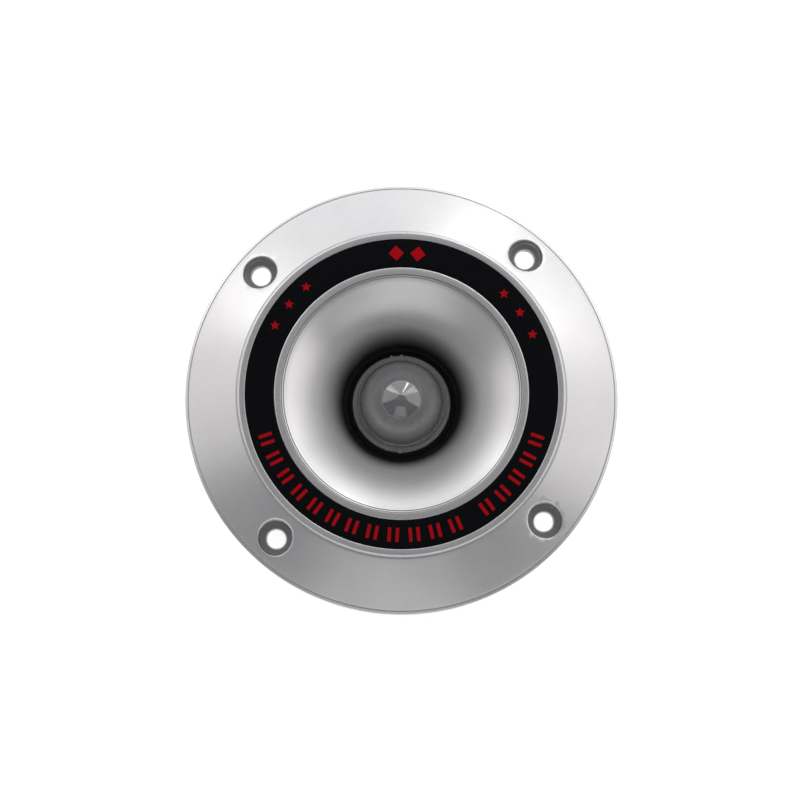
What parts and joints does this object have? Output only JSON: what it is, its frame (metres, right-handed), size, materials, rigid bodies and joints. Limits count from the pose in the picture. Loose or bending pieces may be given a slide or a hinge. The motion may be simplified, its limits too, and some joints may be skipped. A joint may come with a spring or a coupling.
{
  "type": "horn tweeter",
  "caption": "Round car tweeter with a sloping silver flange, flared horn, clear bullet phase plug, magnet motor and push terminals on a rear cup.",
  "frame": {"origin": "centre of the rear cup's flat rear face, on the tweeter's axis", "axes": "+Z along the axis towards the listener, -Y towards the terminals"},
  "size_m": [0.1, 0.1, 0.0661],
  "materials": {
    "silver_paint": "satin",
    "black_trim": "satin",
    "clear_plastic": "clear gloss",
    "gasket_foam": "matt",
    "zinc_steel": "zinc plated",
    "plated_plate": "zinc plated",
    "ferrite": "matt",
    "black_screw": "black oxide",
    "black_plastic": "fine texture",
    "red_plastic": "gloss",
    "brown_board": "matt",
    "brass": "bright",
    "copper_wire": "enamelled",
    "black_film": "satin",
    "red_insulation": "satin",
    "black_insulation": "satin",
    "capacitor_sleeve": "shrink sleeve, gloss"
  },
  "bodies": {
    "tweeter": {"black_contact": "brass", "black_spring": "zinc_steel", "capacitor": "capacitor_sleeve", "capacitor_lead_in": "zinc_steel", "capacitor_lead_out": "zinc_steel", "capacitor_pad": "gasket_foam", "cup_screw_1": "black_screw", "cup_screw_2": "black_screw", "cup_screw_3": "black_screw", "diaphragm_frame": "black_plastic", "horn_casting": "silver_paint", "horn_seal": "gasket_foam", "magnet": "ferrite", "motor_screw_1": "black_screw", "motor_screw_2": "black_screw", "motor_screw_3": "black_screw", "motor_screw_4": "black_screw", "negative_lead": "black_insulation", "phase_plug": "clear_plastic", "plug_nut": "zinc_steel", "plug_seat": "zinc_steel", "plug_stud": "zinc_steel", "plug_washer": "zinc_steel", "positive_lead": "red_insulation", "rear_cup": "black_plastic", "red_contact": "brass", "red_spring": "zinc_steel", "solder_tab_negative": "brass", "solder_tab_positive": "brass", "terminal_block": "black_plastic", "terminal_board": "brown_board", "terminal_lead": "red_insulation", "terminal_screw_1": "black_screw", "terminal_screw_2": "black_screw", "throat_gasket": "gasket_foam", "top_plate": "plated_plate", "trim_ring": "black_trim", "yoke": "plated_plate"},
    "diaphragm_assembly": {"diaphragm": "black_film", "coil_former": "black_film", "voice_coil": "copper_wire", "inner_surround": "black_film", "outer_surround": "black_film", "coil_tail_positive": "black_film", "coil_tail_negative": "black_film"},
    "red_button": {"red_button": "red_plastic"},
    "black_button": {"black_button": "black_plastic"}
  },
  "joints": [
    {"name": "diaphragm_travel", "type": "slide", "parent": "tweeter", "child": "diaphragm_assembly", "axis": [0, 0, 1], "range_m": [-0.0003, 0.0003], "stiffness_N_per_m": 2000, "deforming": ["inner_surround", "outer_surround", "coil_tail_positive", "coil_tail_negative"]},
    {"name": "red_press", "type": "slide", "parent": "tweeter", "child": "red_button", "axis": [0, 1, 0], "range_m": [0, 0.0025], "stiffness_N_per_m": 600, "springref_m": -0.002, "deforming": ["red_spring"]},
    {"name": "black_press", "type": "slide", "parent": "tweeter", "child": "black_button", "axis": [0, 1, 0], "range_m": [0, 0.0025], "stiffness_N_per_m": 600, "springref_m": -0.002, "deforming": ["black_spring"]}
  ]
}
